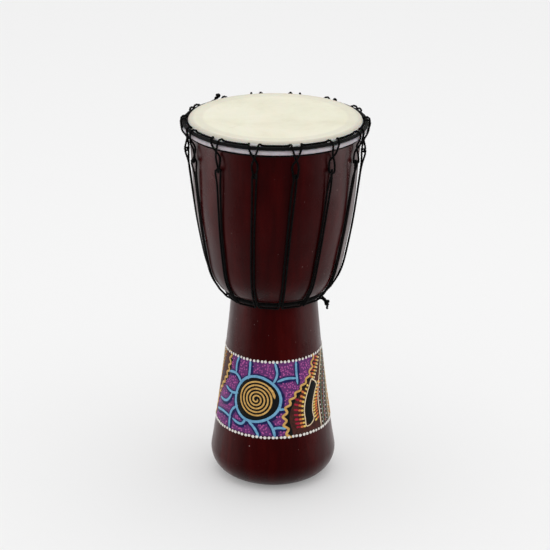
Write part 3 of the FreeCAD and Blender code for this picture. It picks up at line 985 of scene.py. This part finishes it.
def burst(paints, x0, chance):
    """Rows of short dabs standing out from a dark crescent, pale colours inside and hot ones outside."""
    rim_off, dab_step = 5.6, 3.1
    centre = [(x + x0, z) for x, z in spline(CRESCENT, 24) + [CRESCENT[-1]]]
    paints["black"].stroke(centre[::4], 9.5, 0.34, taper=0.25)
    count = len(centre)
    rim, outward = [], []
    for side in (1, -1):
        for i in range(count)[::side]:
            a, b = centre[max(0, i - 1)], centre[min(count - 1, i + 1)]
            dx, dz = b[0] - a[0], b[1] - a[1]
            length = math.hypot(dx, dz)
            nx, nz = side * dz / length, -side * dx / length
            rim.append((centre[i][0] + nx * rim_off, centre[i][1] + nz * rim_off))
            outward.append((nx, nz))
    paints["cream"].stroke(rim[::3], 1.3, 0.5, closed=True)
    zigzag_at = edge_function(RIGHT_EDGE)
    gone = 0.0
    for i in range(1, len(rim)):
        gone += math.dist(rim[i], rim[i - 1])
        if gone < dab_step:
            continue
        gone = 0.0
        (x, z), (nx, nz) = rim[i], outward[i]
        nz += 0.25
        for colour, start, end in (("yellow", 0.9, 4.0), ("orange", 3.8, 7.4), ("crimson", 7.2, 12.4)):
            a = (x + nx * start, z + nz * start)
            b = (x + nx * end, z + nz * (end + chance.uniform(-0.6, 0.6)))
            inside = all(BAND_LOW + 1.5 < p[1] < BAND_HIGH - 2 for p in (a, b))
            clear = all(p[0] - x0 > zigzag_at(p[1]) + 3.0 for p in (a, b))
            if inside and clear and (nx < 0 or colour != "crimson"):
                middle = ((a[0] + b[0]) / 2, (a[1] + b[1]) / 2)
                paints[colour].stroke((a, middle, b), chance.uniform(2.2, 2.7), 0.42)


def plume(paints, x0, chance):
    """The burst's tail: short dabs in four colours that lean across a line to the top of the band."""
    rows = (("cream", -1.0, 0.6), ("yellow", 1.2, 3.8), ("orange", 4.0, 7.0), ("crimson", 7.2, 10.6))
    for x, z in spline(PLUME, 8):
        for colour, start, end in rows:
            end += chance.uniform(-0.4, 0.4)
            dab = [(x + x0 - 0.86 * reach, z + 0.42 * reach) for reach in (start, (start + end) / 2, end)]
            if all(p[1] < BAND_HIGH - 2.0 for p in dab):
                paints[colour].stroke(dab, chance.uniform(2.1, 2.6), 0.42)


def stripes(paints, x0, chance):
    """Grey-green and cream lines with dots beside them, between the burst and the next zigzag."""
    for k, colour in enumerate(("cream", "green", "grey", "green", "cream", "ochre")):
        line = [(x + step * k + x0 + chance.uniform(-0.8, 0.8), z) for x, step, z in STRIPE]
        paints[colour].stroke(line, 1.7, 0.4)
        dots = paints["orange" if k % 2 else "white"]
        for x, z in spline(line, 18)[1:]:
            dots.dot(x + 3.2, z, chance.uniform(0.65, 0.9), 0.4, 8)


def dotted_rows(paints, chance):
    """The white dots along the top and bottom of the band."""
    for height, count in ((BAND_HIGH + 0.2, 78), (BAND_LOW - 1.4, 90)):
        for i in range(count):
            around = 2 * REPEAT * (i + chance.uniform(-0.08, 0.08)) / count
            paints["white"].dot(around, height + chance.uniform(-0.25, 0.25), chance.uniform(1.5, 1.75), 0.8)


def build_painting():
    chance = random.Random(7)
    paints = {}
    for name, tones in COLOURS.items():
        paints[name] = Paint(f"paint_{name}", paint_material(f"paint_{name}", *tones))
    left, right = edge_function(LEFT_EDGE), edge_function(RIGHT_EDGE)
    x, z, _ = MEDALLION
    outline = medallion_edge(1.9)
    angles = [math.tau * i / 24 for i in range(24)]
    for x0 in (0.0, REPEAT):
        paints["brown"].patch(lambda h: x0 + right(h), lambda h: x0 + REPEAT + left(h), 0.12)
        paints["purple"].patch(lambda h: x0 + left(h), lambda h: x0 + right(h), 0.15)
        lines = [[(a + x0, b) for a, b in line] for line in WEB]
        ring = [(x + outline(t) * math.cos(t) + x0, z + outline(t) * math.sin(t)) for t in angles]
        web(paints, lines, ring)
        medallion(paints, x0)
        speckle(paints, x0, lines, ring, chance)
        zigzags(paints, x0)
        burst(paints, x0, chance)
        plume(paints, x0, chance)
        stripes(paints, x0, chance)
    dotted_rows(paints, chance)
    for name, paint in paints.items():
        paint.build(("painted_band",) if name == "purple" else ())


# ---- stage; lengths in metres ----
CAMERA_AT = (0.00085, -2.0, 1.001)
CAMERA_LENS, CAMERA_SENSOR = 131.96, 36.0  # millimetres
CAMERA_DOWN, CAMERA_ROLL = 21.22, 0.45  # degrees
FLOOR_HALF = 30.0
FLOOR_TONE, FLOOR_GLOW = (0.66, 0.66, 0.66), 0.2  # its glow softens the shadow at the foot
WORLD_FRONT, WORLD_BACK = 0.67, 1.16  # strength of the surroundings on the camera's side and behind the drum
DRUM_MIDDLE = (0, 0, 0.2)


def build_camera(scene):
    camera = bpy.data.cameras.new("camera")
    camera.sensor_width, camera.lens = CAMERA_SENSOR, CAMERA_LENS
    camera.clip_end = 100.0
    obj = new_object("camera", camera)
    obj.location = CAMERA_AT
    pitch, roll = math.radians(90 - CAMERA_DOWN), math.radians(CAMERA_ROLL)
    obj.rotation_euler = (Matrix.Rotation(pitch, 3, "X") @ Matrix.Rotation(roll, 3, "Z")).to_euler()
    scene.camera = obj
    scene.view_settings.view_transform = "Standard"


def build_floor():
    mesh = bpy.data.meshes.new("floor")
    corners = [(x * FLOOR_HALF, y * FLOOR_HALF, 0) for x, y in ((-1, -1), (1, -1), (1, 1), (-1, 1))]
    mesh.from_pydata(corners, [], [(0, 1, 2, 3)])
    glow = {"Emission_Color": (1, 1, 1, 1), "Emission_Strength": FLOOR_GLOW}
    mesh.materials.append(new_material("pale_floor", FLOOR_TONE, 0.8, Specular_IOR_Level=0.1, **glow))
    new_object("floor", mesh)


def build_world(scene):
    """White surroundings, brighter behind the drum."""
    world = bpy.data.worlds.new("studio")
    scene.world = world
    world.use_nodes = True
    n = Nodes(world, "Background", "Generated")
    n.set("Strength", n.span(n.axis("Y"), -1.0, 0.6, WORLD_FRONT, WORLD_BACK))
    n.shader.inputs["Color"].default_value = (1, 1, 1, 1)


def area_light(name, at, width, height, power):
    """A white rectangular light that faces the drum."""
    light = bpy.data.lights.new(name, "AREA")
    light.shape, light.size, light.size_y = "RECTANGLE", width, height
    light.energy = power
    obj = new_object(name, light)
    obj.location = at
    obj.rotation_euler = (Vector(DRUM_MIDDLE) - obj.location).to_track_quat("-Z", "Y").to_euler()
    return obj


def build_lights():
    """A large light overhead, and a softbox at each side that lights the shell's lacquer alone."""
    area_light("overhead", (0.2, -0.3, 2.4), 2.4, 2.4, 11)
    lit = bpy.data.collections.new("lit_from_the_sides")
    lit.objects.link(bpy.data.objects["shell_carved"])
    for name, x in (("left_softbox", -0.9), ("right_softbox", 0.9)):
        softbox = area_light(name, (x, -0.15, 0.3), 0.7, 1.0, 9)
        softbox.visible_camera = False
        softbox.light_linking.receiver_collection = lit


def build_stage():
    scene = bpy.context.scene
    build_camera(scene)
    build_floor()
    build_world(scene)
    build_lights()


build_cords()
build_rings()
build_shell()
build_skin()
build_painting()
build_stage()
